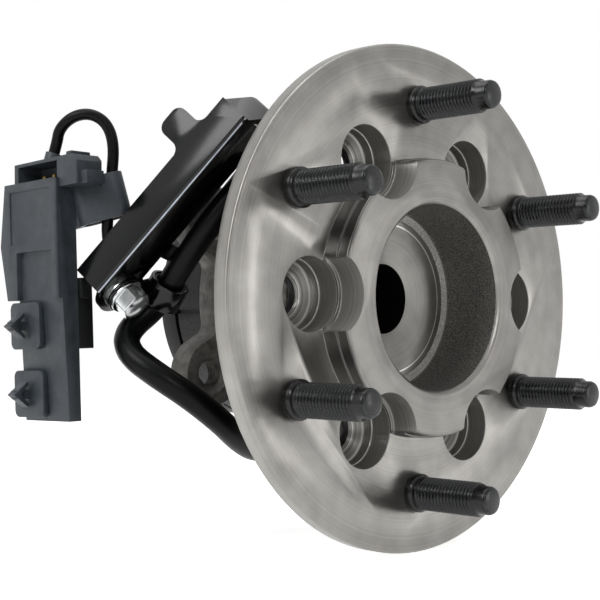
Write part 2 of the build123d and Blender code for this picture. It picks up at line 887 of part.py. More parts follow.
def connector_carrier():
    """Moulded carrier with a window, a cradle for the connector and the lead strap."""
    side = make_face(Polyline(
        (0, 0),
        (carrier_depth, 0),
        (carrier_depth, carrier_shelf),
        (-carrier_lower_front, carrier_shelf),
        close=True,
    ))
    body = slab(side, 0, carrier_width)
    front = make_face(Plane.YZ * Polyline(
        (0, carrier_shelf),
        (carrier_shelf_width, carrier_shelf),
        (carrier_bulge_width, carrier_bulge_height),
        (carrier_top_width, carrier_height),
        (0, carrier_height),
        close=True,
    ))
    body += Pos(-carrier_front, 0, 0) * extrude(front, amount=carrier_front + carrier_depth)
    window_middle = carrier_shelf + window_height / 2
    window = Pos(-carrier_front, window_start + window_width / 2, window_middle)
    body -= window * Box(2 * window_depth, window_width, window_height)
    panel_start = carrier_shelf + window_height + panel_margin
    panel_height = carrier_height - panel_start - panel_margin
    panel_width = carrier_top_width - 2 * panel_margin
    panel = Pos(-carrier_front, carrier_top_width / 2, panel_start + panel_height / 2)
    body -= panel * Box(2 * panel_depth, panel_width, panel_height)
    body = fillet(body.edges().filter_by(Axis.Z).sort_by(Axis.X)[:2], carrier_edge)
    body = carrier_frame().location * body
    round_end = strap_depth / 2 - strap_corner
    ring = RectangleRounded(strap_length, strap_depth, round_end)
    ring -= RectangleRounded(
        strap_length - 2 * strap_wall, strap_depth - 2 * strap_wall, round_end - strap_wall)
    half = strap_height / 2
    strap = extrude(strap_frame().offset(-half) * ring, amount=strap_height)
    arm_middle = -strap_length / 2 - strap_arm_length / 3
    arm = Pos(arm_middle, strap_arm_inset) * Rectangle(strap_arm_length, strap_arm_depth)
    strap += extrude(strap_frame().offset(-half) * arm, amount=strap_height)
    cradle = Pos(socket_left_end, 0, 0) * Box(
        carrier_height, carrier_height, socket_height, align=Align.MIN)
    body -= socket_frame().location * cradle
    return body + (strap - socket_frame().location * socket_block())


def push_clips():
    """Two arrow clips with their seat plates."""
    clips = []
    for height in clip_heights:
        lean = carrier_lower_front * height / carrier_shelf
        plate = Pos(-lean - clip_plate_thick / 2, clip_across, height) * Box(
            clip_plate_thick, clip_plate_width, clip_plate_height)
        plate = fillet(plate.edges().filter_by(Axis.X), clip_plate_corner)
        front = -lean - clip_plate_thick
        stem = Pos(front - clip_reach / 2 + 0.5, clip_across, height) * Box(
            clip_reach - 1, clip_stem_width, clip_stem)
        wing = clip_barb / 2
        barb = make_face(Polyline(
            (front - clip_reach, height),
            (front - clip_barb_gap, height + wing),
            (front - clip_barb_gap, height + wing - clip_barb_thick),
            (front - clip_reach + 2 * clip_barb_thick, height),
            (front - clip_barb_gap, height - wing + clip_barb_thick),
            (front - clip_barb_gap, height - wing),
            close=True,
        ))
        arrow = slab(barb, clip_across - clip_barb_width / 2, clip_across + clip_barb_width / 2)
        clips.append(plate + stem + arrow)
    location = carrier_frame().location
    clips = [location * clip for clip in clips]
    return Compound([clip - connector_carrier() for clip in clips])


def rear_clip():
    """Box clip on the carrier back that grips the end of the bracket strip."""
    height = rear_clip_top - rear_clip_bottom
    middle = rear_clip_bottom + height / 2
    across = 1.0 + rear_clip_depth / 2
    box = Pos(carrier_depth + rear_clip_width / 2, across, middle) * Box(
        rear_clip_width, rear_clip_depth, height)
    inside = Pos(carrier_depth + rear_clip_width / 2, across, middle - rear_clip_wall) * Box(
        rear_clip_width - 2 * rear_clip_wall, rear_clip_depth - 2 * rear_clip_wall, height)
    hook = Pos(carrier_depth + 2.0, 0.3, rear_clip_top - 2.0) * Box(3.4, 3.6, 7.0)
    clip = carrier_frame().location * (box - inside + hook)
    room = Pos(strip_length / 2, sheet_thick / 2, strip_width / 2) * Box(
        strip_length + 2 * seat_gap, sheet_thick + 2 * seat_gap, strip_width + 2 * seat_gap)
    return clip - bracket_frame().location * room


def connector_housing():
    """Socket body with its mouth, slanted end and latch step."""
    body = socket_block()
    upper_end = body.edges().filter_by(Axis.Y).group_by(Axis.X)[-1].sort_by(Axis.Z)[-1]
    body = chamfer(upper_end, socket_end_break)
    body = fillet(body.edges().filter_by(Axis.Z), 0.8)
    cavity = socket_depth - socket_wall
    mouth_middle = socket_left_end + socket_mouth_margin + socket_mouth / 2
    mouth_height = socket_height - 2 * socket_wall
    body -= Pos(mouth_middle, cavity / 2, socket_height / 2) * Box(
        socket_mouth, cavity, mouth_height)
    step = Pos(socket_right_end, socket_depth / 2, latch_height / 2)
    body += step * Box(2 * latch_step, socket_depth - 4, latch_height)
    gland = extrude(gland_frame() * Circle(gland_radius), amount=gland_length)
    return socket_frame().location * body + gland


def connector_terminals():
    """Two blade terminals standing in the socket."""
    blades = []
    mouth_middle = socket_left_end + socket_mouth_margin + socket_mouth / 2
    cavity = socket_depth - socket_wall
    for side in (-1, 1):
        across = mouth_middle + side * terminal_spacing / 2
        spot = Pos(across, cavity - terminal_length / 2, socket_height / 2)
        blade = spot * Box(terminal_width, terminal_length, terminal_thick)
        blades.append(socket_frame().location * blade)
    return Compound(blades)


def connector_latch():
    """Sprung latch finger on the top of the socket body."""
    spot = Pos(
        socket_right_end - latch_inset,
        latch_margin + latch_length / 2,
        socket_height + latch_thick / 2,
    )
    finger = spot * Box(latch_width, latch_length, latch_thick)
    return socket_frame().location * finger


os.makedirs("parts", exist_ok=True)
save(hub_flange(), "hub_flange")
save(wheel_studs(), "wheel_studs")
save(inner_ring(), "inner_ring")
save(tone_ring(), "tone_ring")
save(spindle_washer(), "spindle_washer")
save(spindle_nut(), "spindle_nut")
save(seal_slinger(), "seal_slinger")
save(ball_row(outboard_row), "balls_outboard")
save(ball_row(inboard_row), "balls_inboard")
save(ball_cage(outboard_row, -1), "ball_cage_outboard")
save(ball_cage(inboard_row, 1), "ball_cage_inboard")
save(bearing_housing(), "bearing_housing")
save(outboard_seal(), "outboard_seal")
save(inboard_cover(), "inboard_cover")
save(abs_sensor(), "abs_sensor")
save(sensor_screw(), "sensor_screw")
save(sensor_boot(), "sensor_boot")
save(cable(full_conduit_route(), conduit_radius, "sensor_conduit"), "sensor_conduit")
save(conduit_end_sleeve(), "conduit_end_sleeve")
save(cable(full_lead_route(), lead_radius, "connector_lead"), "connector_lead")
save(cable_bracket(), "cable_bracket")
save(clamp_washer(), "clamp_washer")
save(cable_clamp(), "cable_clamp")
save(clamp_cushion(), "clamp_cushion")
save(bracket_bolt(), "bracket_bolt")
save(bracket_nut(), "bracket_nut")
save(connector_carrier(), "connector_carrier")
save(push_clips(), "push_clips")
save(rear_clip(), "rear_clip")
save(connector_housing(), "connector_housing")
save(connector_terminals(), "connector_terminals")
save(connector_latch(), "connector_latch")
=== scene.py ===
"""Wheel hub bearing with its speed sensor harness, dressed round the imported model. Metres."""

import logging
import math
from dataclasses import dataclass, field
from enum import Enum

import bpy
from mathutils import Matrix, Vector


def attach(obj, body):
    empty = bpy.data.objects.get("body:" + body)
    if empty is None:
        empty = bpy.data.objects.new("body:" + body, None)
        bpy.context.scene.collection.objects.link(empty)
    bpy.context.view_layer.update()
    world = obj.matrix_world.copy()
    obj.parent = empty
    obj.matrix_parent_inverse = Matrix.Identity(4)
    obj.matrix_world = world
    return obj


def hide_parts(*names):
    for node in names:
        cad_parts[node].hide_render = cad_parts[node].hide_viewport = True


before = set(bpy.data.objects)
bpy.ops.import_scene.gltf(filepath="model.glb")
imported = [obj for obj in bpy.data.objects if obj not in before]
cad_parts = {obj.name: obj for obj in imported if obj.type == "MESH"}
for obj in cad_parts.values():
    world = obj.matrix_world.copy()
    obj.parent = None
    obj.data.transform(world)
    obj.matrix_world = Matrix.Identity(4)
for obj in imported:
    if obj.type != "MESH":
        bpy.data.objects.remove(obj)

log = logging.getLogger("wheel_hub")

Tree = bpy.types.NodeTree
Socket = bpy.types.NodeSocket
Piece = bpy.types.Object
Profile = list[tuple[float, float]]

MM = 0.001
# Points closer than this are one point, in metres
WELD = 1e-6
CAD_WELD = 2e-6
# Room for rounding errors when heights are compared, in metres
SLACK = 1e-7
# Angles in degrees: faces flatter than the first are joined, edges under the others are shaded smooth
FLAT_ANGLE = 1.0
EDGE_ANGLE = 40.0
THREAD_ANGLE = 50.0
# The place of a piece's second finish
SECOND_FINISH = 1
# Where the colour mixing node takes its two colours, and where it gives the mixed one
MIX_FIRST = 6
MIX_SECOND = 7
MIXED = 2


class Body(Enum):
    """The bodies that pieces ride on."""

    HUB = "hub"
    HOUSING = "housing"


def linear(colour: str) -> tuple[float, float, float, float]:
    """Turn an sRGB hex colour into linear light.

    Args:
        colour: six hex digits.

    Returns:
        Red, green, blue and an alpha of one.
    """
    parts = [int(colour[place:place + 2], 16) / 255 for place in (0, 2, 4)]
    light = [part / 12.92 if part <= 0.04045 else ((part + 0.055) / 1.055) ** 2.4 for part in parts]
    return light[0], light[1], light[2], 1.0


def add_node(tree: Tree, kind: str, settings: dict | None = None,
             inputs: dict | None = None) -> bpy.types.Node:
    """Add one node with its settings, values and links.

    Args:
        tree: the node tree that gets the node.
        kind: the node's type.
        settings: attributes of the node.
        inputs: by name or place, an output socket to link or a plain value.

    Returns:
        The new node.
    """
    node = tree.nodes.new(kind)
    for name, value in (settings or {}).items():
        setattr(node, name, value)
    for name, item in (inputs or {}).items():
        if isinstance(item, Socket):
            tree.links.new(item, node.inputs[name])
        else:
            node.inputs[name].default_value = item
    return node


def deselect() -> None:
    """Leave nothing selected."""
    if bpy.context.mode != "OBJECT":
        bpy.ops.object.mode_set(mode="OBJECT")
    bpy.ops.object.select_all(action="DESELECT")


def pick(piece: Piece) -> None:
    """Make one piece the only selected one.

    Args:
        piece: the piece to select.
    """
    deselect()
    piece.hide_set(False)
    piece.select_set(True)
    bpy.context.view_layer.objects.active = piece


def smooth(piece: Piece, degrees: float) -> None:
    """Shade a piece smooth except across its sharp edges.

    Args:
        piece: the piece.
        degrees: edges sharper than this stay sharp.
    """
    pick(piece)
    bpy.ops.object.shade_smooth_by_angle(angle=math.radians(degrees))
    deselect()


def apply_modifiers(piece: Piece) -> None:
    """Apply every modifier of a piece.

    Args:
        piece: the piece.
    """
    pick(piece)
    for modifier in list(piece.modifiers):
        bpy.ops.object.modifier_apply(modifier=modifier.name)
    deselect()


def dress(piece: Piece, material: bpy.types.Material) -> None:
    """Give a piece one material."""
    piece.data.materials.clear()
    piece.data.materials.append(material)


def dress_nodes(material: bpy.types.Material, *names: str) -> None:
    """Give one material to CAD nodes that keep their own shape.

    Args:
        material: their finish.
        names: the CAD nodes.
    """
    for name in names:
        dress(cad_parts[name], material)
        log.info("%s keeps its CAD shape", name)


def seat(piece: Piece, body: Body, slot: str, *nodes: str) -> None:
    """Ride a piece on its body and hide the nodes it stands for.

    Args:
        piece: the finished piece.
        body: the body that it moves with.
        slot: the record's material slot; not used.
        nodes: CAD nodes that the piece replaces.
    """
    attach(piece, body.value)
    if nodes:
        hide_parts(*nodes)
    log.info("%s rides on %s", piece.name, body.value)


def turned_piece(name: str, profile: Profile, steps: int) -> Piece:
    """Spin a closed profile about the Y axis.

    Args:
        name: the piece's name.
        profile: corners as (radius, y), the first and last on the axis or the same ring.
        steps: segments round.

    Returns:
        The new piece, with its seam and poles merged.
    """
    deselect()
    bpy.ops.mesh.primitive_plane_add(size=MM, location=(0, 0, 0))
    piece = bpy.context.object
    piece.name = name
    bpy.ops.object.mode_set(mode="EDIT")
    bpy.ops.mesh.select_all(action="SELECT")
    bpy.ops.mesh.merge(type="CENTER")
    bpy.ops.transform.translate(value=(profile[0][0], profile[0][1], 0))
    for (here_r, here_y), (next_r, next_y) in zip(profile, profile[1:]):
        step = (next_r - here_r, next_y - here_y, 0)
        bpy.ops.mesh.extrude_region_move(TRANSFORM_OT_translate={"value": step})
    bpy.ops.mesh.select_all(action="SELECT")
    bpy.ops.mesh.spin(steps=steps, angle=math.tau, center=(0, 0, 0), axis=(0, 1, 0))
    bpy.ops.mesh.select_all(action="SELECT")
    bpy.ops.mesh.remove_doubles(threshold=WELD)
    bpy.ops.mesh.normals_make_consistent(inside=False)
    bpy.ops.object.mode_set(mode="OBJECT")
    deselect()
    return piece


def numbered_copies(first: Piece, stem: str, count: int) -> list[Piece]:
    """Copy a piece with its mesh until there are enough.

    Args:
        first: the piece that is number one.
        stem: the name that the numbers follow.
        count: how many pieces there are in the end.

    Returns:
        All the pieces in order, the first one included.
    """
    pieces = [first]
    for number in range(2, count + 1):
        piece = first.copy()
        piece.data = first.data.copy()
        piece.name = f"{stem}_{number}"
        bpy.context.scene.collection.objects.link(piece)
        pieces.append(piece)
    return pieces


def thread_phase(place: Vector, pitch: float) -> float:
    """Return how far through one turn of a thread a point lies, from nought to one."""
    return (place.y / (pitch * MM) + math.atan2(place.z, place.x) / math.tau) % 1.0


def move_inward(place: Vector, radius: float, cut: float) -> None:
    """Move a point toward the Y axis.

    Args:
        place: the point.
        radius: its distance from the axis in metres.
        cut: how far it moves, in metres.
    """
    scale = (radius - cut) / radius
    place.x *= scale
    place.z *= scale


def softened(node: str, name: str, width: float, segments: int = 2, angle: float = 35.0) -> Piece:
    """Copy a CAD node's mesh and round its sharp edges.

    Args:
        node: the CAD node.
        name: the new piece's name.
        width: how wide the rounding is, in millimetres.
        segments: faces across the rounding.
        angle: edges sharper than this are rounded.

    Returns:
        The rounded copy.
    """
    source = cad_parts[node]
    piece = source.copy()
    piece.data = source.data.copy()
    for key in list(piece.keys()):
        if key.startswith("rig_"):
            del piece[key]
    piece.name = name
    piece.parent = None
    piece.matrix_world = Matrix.Identity(4)
    bpy.context.scene.collection.objects.link(piece)
    pick(piece)
    bpy.ops.object.mode_set(mode="EDIT")
    bpy.ops.mesh.select_all(action="SELECT")
    bpy.ops.mesh.remove_doubles(threshold=CAD_WELD)
    bpy.ops.mesh.dissolve_limited(angle_limit=math.radians(FLAT_ANGLE))
    bpy.ops.object.mode_set(mode="OBJECT")
    bevel = piece.modifiers.new("rounding", "BEVEL")
    bevel.width = width * MM
    bevel.segments = segments
    bevel.limit_method = "ANGLE"
    bevel.angle_limit = math.radians(angle)
    bevel.use_clamp_overlap = True
    apply_modifiers(piece)
    smooth(piece, EDGE_ANGLE)
    return piece


def stand_in(node: str, name: str, material: bpy.types.Material, body: Body, slot: str,
             **rounding: float) -> None:
    """Put a rounded and dressed copy in the place of a CAD node.

    Args:
        node: the CAD node.
        name: the new piece's name.
        material: its finish.
        body: the body that it moves with.
        slot: the record's material slot.
        rounding: what softened is told about the edges.
    """
    piece = softened(node, name, **rounding)
    dress(piece, material)
    seat(piece, body, slot, node)


def cable_tube(name: str, route: list[tuple[float, float, float]], radius: float) -> Piece:
    """Make a round cable on one smooth NURBS line.

    Args:
        name: the piece's name.
        route: control points in millimetres, as in the part's source.
        radius: the cable's radius in millimetres.

    Returns:
        The cable as a curve object.
    """
    data = bpy.data.curves.new(name, "CURVE")
    data.dimensions = "3D"
    spline = data.splines.new("NURBS")
    spline.points.add(len(route) - 1)
    for point, spot in zip(spline.points, route):
        point.co = (*(value * MM for value in spot), 1.0)
    spline.order_u = 3
    spline.use_endpoint_u = True
    spline.resolution_u = 10
    data.bevel_depth = radius * MM
    data.bevel_resolution = 7
    data.use_fill_caps = True
    piece = bpy.data.objects.new(name, data)
    bpy.context.scene.collection.objects.link(piece)
    return piece


@dataclass(frozen=True)
class Finish:
    """A surface whose colour, roughness and relief vary with a fine grain. Millimetres."""

    name: str
    colours: tuple[str, str]
    roughness: tuple[float, float]
    patch: float
    grain: float
    relief: float
    metallic: float = 0.0
    specular: float = 0.5
    zone: tuple[float, float] | None = None
    zone_colour: str = "000000"

    def material(self) -> bpy.types.Material:
        """Build the material.

        Returns:
            The material with its nodes.
        """
        made = bpy.data.materials.new(self.name)
        made.use_nodes = True
        tree = made.node_tree
        tree.nodes.clear()
        place = add_node(tree, "ShaderNodeTexCoord").outputs["Object"]
        shader = add_node(tree, "ShaderNodeBsdfPrincipled", inputs={
            "Metallic": self.metallic, "Specular IOR Level": self.specular})
        self.paint(tree, place, shader)
        add_node(tree, "ShaderNodeOutputMaterial", inputs={"Surface": shader.outputs["BSDF"]})
        return made

    def paint(self, tree: Tree, place: Socket, shader: bpy.types.Node) -> None:
        """Feed colour, roughness and relief to the shader.

        Args:
            tree: the material's nodes.
            place: object coordinates.
            shader: the shader to feed.
        """
        patches, fine = (
            add_node(tree, "ShaderNodeTexNoise", inputs={
                "Vector": place, "Scale": 1 / (size * MM), "Detail": detail, "Roughness": 0.6}).outputs["Fac"]
            for size, detail in ((self.patch, 5.0), (self.grain, 3.0)))
        share = add_node(tree, "ShaderNodeMapRange", inputs={
            "Value": patches, "From Min": 0.35, "From Max": 0.65}).outputs[0]
        first, second = (linear(colour) for colour in self.colours)
        tint = add_node(tree, "ShaderNodeMix", {"data_type": "RGBA"}, {
            0: share, MIX_FIRST: first, MIX_SECOND: second}).outputs[MIXED]
        if self.zone:
            start, end = self.zone
            along = add_node(tree, "ShaderNodeSeparateXYZ", inputs={"Vector": place}).outputs["Y"]
            inside = add_node(tree, "ShaderNodeMath", {"operation": "COMPARE"}, {
                0: along, 1: (start + end) / 2 * MM, 2: (end - start) / 2 * MM}).outputs[0]
            tint = add_node(tree, "ShaderNodeMix", {"data_type": "RGBA"}, {
                0: inside, MIX_FIRST: tint, MIX_SECOND: linear(self.zone_colour)}).outputs[MIXED]
        smoothest, dullest = self.roughness
        dullness = add_node(tree, "ShaderNodeMapRange", inputs={
            "Value": fine, "From Min": 0.3, "From Max": 0.7,
            "To Min": smoothest, "To Max": dullest}).outputs[0]
        self.feed(tree, shader, tint, dullness, fine)

    def feed(self, tree: Tree, shader: bpy.types.Node, colour: Socket, dullness: Socket,
             height: Socket) -> None:
        """Link what was painted to the shader.

        Args:
            tree: the material's nodes.
            shader: the shader to feed.
            colour: the surface's colour.
            dullness: its roughness.
            height: its relief, as a share of the relief's depth.
        """
        bump = add_node(tree, "ShaderNodeBump", inputs={
            "Strength": 1.0, "Distance": self.relief * MM, "Height": height})
        tree.links.new(colour, shader.inputs["Base Color"])
        tree.links.new(dullness, shader.inputs["Roughness"])
        tree.links.new(bump.outputs["Normal"], shader.inputs["Normal"])


@dataclass(frozen=True)
class TurnedSteel(Finish):
    """Forged steel turned on a lathe, with rough zones left in the bore and holes.

    Names that end in from or until are heights along the axis, which runs from the wheel side
    to the back. Names that end in half are half the width of a line.
    """

    ring: float = 0.7
    broad_ring: float = 7.0
    ring_weight: float = 0.5
    broad_weight: float = 0.3
    stretch: float = 0.8
    hole_count: int = 6
    hole_circle: float = 54.3
    hole_radius: float = 12.9
    hole_from: float = 0.05
    neck_radius: float = 7.2
    band: float = 0.4
    step_edges: tuple[float, ...] = (0.2, 8.4, 12.1, 14.0)
    step_half: float = 0.12
    notch_radius: float = 14.0
    notch_until: float = -0.9
    notch_half: float = 0.12
    bore_radius: float = 33.3
    bore_from: float = -9.8
    land_radius: float = 29.25
    core_radius: float = 13.0
    core_from: float = 17.05
    back_radius: float = 36.5
    back_from: float = 6.4
    dish_from: float = 12.5
    line_radius: float = 27.4
    line_half: float = 0.25
    corner_radius: float = 30.9
    corner_half: float = 1.5
    rim_radius: float = 49.6
    rim_half: float = 0.75
    rim_until: float = -0.1
    pilot_until: float = -10.9
    raw_dullness: float = 0.15
    raw_matt: float = 0.75
    hole_matt: float = 0.5
    ring_relief: float = 0.5
    grit_relief: float = 9.0
    rough_colour: str = "96948F"
    pit_colour: str = "232322"
    # Painted shade: near black deep in the narrow through-holes and the centre hole
    deep_hole_shade: str = "0E0E0D"
    hole_colour: str = "A09E9A"
    hole_shade: str = "656461"
    # Painted highlight: the bright line at each step's edge inside the holes
    step_highlight_colour: str = "C6C4C0"
    # Painted highlight and glints: the bright line at the dish's end and the sparkling ring in its corner
    glint_colour: str = "EFEDE9"
    rim_colour: str = "6A6967"

    def place_sums(self) -> list[tuple]:
        """List the sums that say where a point lies.

        Returns:
            Rows of a result's name, an operation and what it works on, names or plain numbers.
        """
        return [
            ("walk", "ADD", "radius", "along"),
            # Folding the circle of holes onto half of one hole's share finds the nearest hole
            ("turn", "ARCTAN2", "z", "x"),
            ("fold", "PINGPONG", "turn", math.pi / self.hole_count),
            ("sine", "SINE", "fold"),
            ("cosine", "COSINE", "fold"),
            ("beside", "MULTIPLY", "radius", "sine"),
            ("from_axis", "MULTIPLY", "radius", "cosine"),
            ("outward", "SUBTRACT", "from_axis", self.hole_circle * MM),
            ("outward_square", "POWER", "outward", 2.0),
            ("beside_square", "POWER", "beside", 2.0),
            ("reach_square", "ADD", "outward_square", "beside_square"),
            ("reach", "SQRT", "reach_square"),
        ]

    def zone_sums(self) -> list[tuple]:
        """List the sums that mask the surfaces which aren't plain turned steel.

        Returns:
            Rows as place_sums gives them; a mask is one inside its zone and nought outside.
        """
        first_step, *other_steps = self.step_edges
        rows = [
            ("within_hole", "LESS_THAN", "reach", self.hole_radius * MM),
            ("behind_face", "GREATER_THAN", "along", self.hole_from * MM),
            ("in_hole", "MULTIPLY", "within_hole", "behind_face"),
            ("on_notch", "COMPARE", "reach", self.notch_radius * MM, self.notch_half * MM),
            ("before_face", "LESS_THAN", "along", self.notch_until * MM),
            ("in_notch", "MULTIPLY", "on_notch", "before_face"),
            ("hole", "MAXIMUM", "in_hole", "in_notch"),
            ("neck", "LESS_THAN", "reach", self.neck_radius * MM),
            ("within_bore", "LESS_THAN", "radius", self.bore_radius * MM),
            ("behind_pilot", "GREATER_THAN", "along", self.bore_from * MM),
            ("in_bore", "MULTIPLY", "within_bore", "behind_pilot"),
            ("round_land", "GREATER_THAN", "radius", self.land_radius * MM),
            ("bore", "MULTIPLY", "in_bore", "round_land"),
            ("within_core", "LESS_THAN", "radius", self.core_radius * MM),
            ("behind_dish", "GREATER_THAN", "along", self.core_from * MM),
            ("core", "MULTIPLY", "within_core", "behind_dish"),
            ("behind_flange", "GREATER_THAN", "along", self.back_from * MM),
            ("round_barrel", "GREATER_THAN", "radius", self.back_radius * MM),
            ("back_ring", "MULTIPLY", "behind_flange", "round_barrel"),
            ("off_hole", "SUBTRACT", 1.0, "in_hole"),
            ("back", "MULTIPLY", "back_ring", "off_hole"),
            ("in_dish", "GREATER_THAN", "along", self.dish_from * MM),
            ("on_line", "COMPARE", "radius", self.line_radius * MM, self.line_half * MM),
            ("dish_highlight_line", "MULTIPLY", "in_dish", "on_line"),
            ("on_corner", "COMPARE", "radius", self.corner_radius * MM, self.corner_half * MM),
            ("corner", "MULTIPLY", "in_dish", "on_corner"),
            ("on_rim", "COMPARE", "radius", self.rim_radius * MM, self.rim_half * MM),
            ("before_rim", "LESS_THAN", "along", self.rim_until * MM),
            ("rim", "MULTIPLY", "on_rim", "before_rim"),
            ("pilot_face", "LESS_THAN", "along", self.pilot_until * MM),
            ("edges", "COMPARE", "along", first_step * MM, self.step_half * MM),
        ]
        for step in other_steps:
            rows += [("edge", "COMPARE", "along", step * MM, self.step_half * MM),
                     ("edges", "MAXIMUM", "edges", "edge")]
        return rows

    def surface_sums(self) -> list[tuple]:
        """List the sums that give the tone, metal, dullness and relief.

        Returns:
            Rows as place_sums gives them.
        """
        smoothest, dullest = self.roughness
        return [
            ("sandy_zone", "MAXIMUM", "bore", "back"),
            ("raw_bore", "MAXIMUM", "bore", "core"),
            ("raw", "MAXIMUM", "raw_bore", "back"),
            ("fine_tone", "ADD", "rings", "mottle"),
            ("broad_tone", "MULTIPLY", "broad", self.broad_weight),
            ("tone", "MULTIPLY_ADD", "fine_tone", self.ring_weight, "broad_tone"),
            ("raw_matt", "MULTIPLY", "raw", self.raw_matt),
            ("hole_matt", "MULTIPLY", "hole", self.hole_matt),
            ("matt", "MAXIMUM", "raw_matt", "hole_matt"),
            ("metal", "SUBTRACT", 1.0, "matt"),
            ("ring_dullness", "MULTIPLY_ADD", "rings", dullest - smoothest, smoothest),
            ("duller", "MAXIMUM", "raw", "pilot_face"),
            ("more_dullness", "MULTIPLY", "duller", self.raw_dullness),
            ("dullness", "ADD", "ring_dullness", "more_dullness"),
            ("turned", "SUBTRACT", 1.0, "raw"),
            ("ridges", "MULTIPLY", "rings", "turned"),
            ("ridge_height", "MULTIPLY", "ridges", self.ring_relief),
            ("pits", "MULTIPLY", "grit", "raw"),
            ("pit_height", "MULTIPLY", "pits", self.grit_relief),
            ("height", "ADD", "ridge_height", "pit_height"),
        ]

    def mixes(self) -> list[tuple[str, str, str, str]]:
        """List the colours in the order in which they are mixed.

        Returns:
            Rows of a result's name, the share of the second colour, and two names or hex colours.
        """
        return [
            ("colour", "tone_share", *self.colours),
            # Tool marks inside the holes: dark and pale bands, with a painted highlight as a bright line at
            # each step's edge
            ("walls", "band_share", self.hole_shade, self.hole_colour),
            ("walls", "edges", "walls", self.step_highlight_colour),
            # Painted shade: the narrow through-hole is near black
            ("walls", "neck", "walls", self.deep_hole_shade),
            ("colour", "hole", "colour", "walls"),
            # Painted highlight: a bright line where the dish ends
            ("colour", "dish_highlight_line", "colour", self.glint_colour),
            ("colour", "rim", "colour", self.rim_colour),
            # Raw metal is pitted, and a ring of painted glints fills the corner by the dish's wall
            ("sandy", "speckle", self.pit_colour, self.rough_colour),
            ("glint_ring", "speckle", self.rough_colour, self.glint_colour),
            ("sandy", "corner", "sandy", "glint_ring"),
            ("colour", "sandy_zone", "colour", "sandy"),
            # Painted shade: the centre hole behind the dish is near black
            ("colour", "core", "colour", self.deep_hole_shade),
        ]

    def calculate(self, tree: Tree, known: dict[str, Socket], sums: list[tuple]) -> None:
        """Add the nodes of a list of sums and note their results.

        Args:
            tree: the material's nodes.
            known: sockets by name, which gains the results.
            sums: rows as place_sums gives them.
        """
        for result, operation, *items in sums:
            inputs = {place: known.get(item, item) for place, item in enumerate(items)}
            known[result] = add_node(tree, "ShaderNodeMath", {"operation": operation}, inputs).outputs[0]

    def add_patterns(self, tree: Tree, known: dict[str, Socket]) -> None:
        """Add the noise patterns, those on a line along one distance and the others in space.

        Args:
            tree: the material's nodes.
            known: sockets by name, which gains the patterns.
        """
        # The rings are a little coarser than real feed marks, so that they show
        for result, source, size, detail, roughness in (
                ("rings", "walk", self.ring, 4.0, 0.75),
                ("broad", "walk", self.broad_ring, 2.0, 0.5),
                ("bands", "along", self.band, 3.0, 0.7),
                ("mottle", "place", self.patch, 4.0, 0.5),
                ("grit", "place", self.grain, 3.0, 0.7)):
            in_space = source == "place"
            known[result] = add_node(
                tree, "ShaderNodeTexNoise", {"noise_dimensions": "3D" if in_space else "1D"}, {
                    "Vector" if in_space else "W": known[source], "Scale": 1 / (size * MM),
                    "Detail": detail, "Roughness": roughness}).outputs["Fac"]

    def paint(self, tree: Tree, place: Socket, shader: bpy.types.Node) -> None:
        """Draw lathe rings round the axis and darken the unmachined zones.

        Args:
            tree: the material's nodes.
            place: object coordinates.
            shader: the shader to feed.
        """
        axes = add_node(tree, "ShaderNodeSeparateXYZ", inputs={"Vector": place}).outputs
        flat = add_node(tree, "ShaderNodeCombineXYZ", inputs={"X": axes["X"], "Z": axes["Z"]}).outputs[0]
        length = add_node(tree, "ShaderNodeVectorMath", {"operation": "LENGTH"}, {0: flat})
        known = {"place": place, "x": axes["X"], "along": axes["Y"], "z": axes["Z"],
                 "radius": length.outputs["Value"]}
        self.calculate(tree, known, self.place_sums())
        self.calculate(tree, known, self.zone_sums())
        self.add_patterns(tree, known)
        self.calculate(tree, known, self.surface_sums())
        for result, pattern, low, high in (
                ("tone_share", "tone", 0.45, 0.85), ("band_share", "bands", 0.3, 0.7),
                ("speckle", "grit", 0.35, 0.7)):
            known[result] = add_node(tree, "ShaderNodeMapRange", inputs={
                "Value": known[pattern], "From Min": low, "From Max": high}).outputs[0]
        for result, share, *colours in self.mixes():
            first, second = (known[colour] if colour in known else linear(colour) for colour in colours)
            known[result] = add_node(tree, "ShaderNodeMix", {"data_type": "RGBA"}, {
                0: known[share], MIX_FIRST: first, MIX_SECOND: second}).outputs[MIXED]
        self.feed(tree, shader, known["colour"], known["dullness"], known["height"])
        tree.links.new(known["metal"], shader.inputs["Metallic"])

        # The tangent runs round the axis, as the lathe's marks do
        round_axis = add_node(tree, "ShaderNodeVectorMath", {"operation": "CROSS_PRODUCT"},
                              {0: flat, 1: (0, 1, 0)}).outputs["Vector"]
        tangent = add_node(tree, "ShaderNodeVectorMath", {"operation": "NORMALIZE"}, {0: round_axis})
        tree.links.new(tangent.outputs["Vector"], shader.inputs["Tangent"])
        shader.inputs["Anisotropic"].default_value = self.stretch


# Turned steel: fine lathe rings that draw the light out into fans
TURNED = TurnedSteel("turned_steel", ("807E7B", "9D9B97"), (0.26, 0.4), patch=9.0, grain=0.45,
                     relief=0.012, metallic=1.0)
# Ground bearing steel: bright and nearly even
GROUND = Finish("ground_steel", ("A5A5A5", "B4B4B4"), (0.18, 0.28), patch=8.0, grain=0.3,
                relief=0.002, metallic=1.0)
# Black phosphate on steel: dark, with a low sheen, a little greyer on the stud's end
PHOSPHATE = Finish("phosphated_steel", ("030303", "090A0A"), (0.2, 0.32), patch=2.5, grain=0.25,
                   relief=0.006, specular=0.35, zone=(-34.4, -34.15), zone_colour="222324")
# Phosphate worn thin by the nut: a dark sheen of bare steel on crests and edges
WORN = Finish("worn_phosphate", ("242627", "3C3E40"), (0.24, 0.38), patch=1.2, grain=0.25,
              relief=0.004, metallic=0.8)
# Forged steel with scale: brown grey and pitted, near black on the barrel behind the ears
FORGED = Finish("forged_steel", ("5C5A57", "82807C"), (0.45, 0.7), patch=4.0, grain=0.7,
                relief=0.1, metallic=0.35, specular=0.4, zone=(60.3, 82.0), zone_colour="020203")
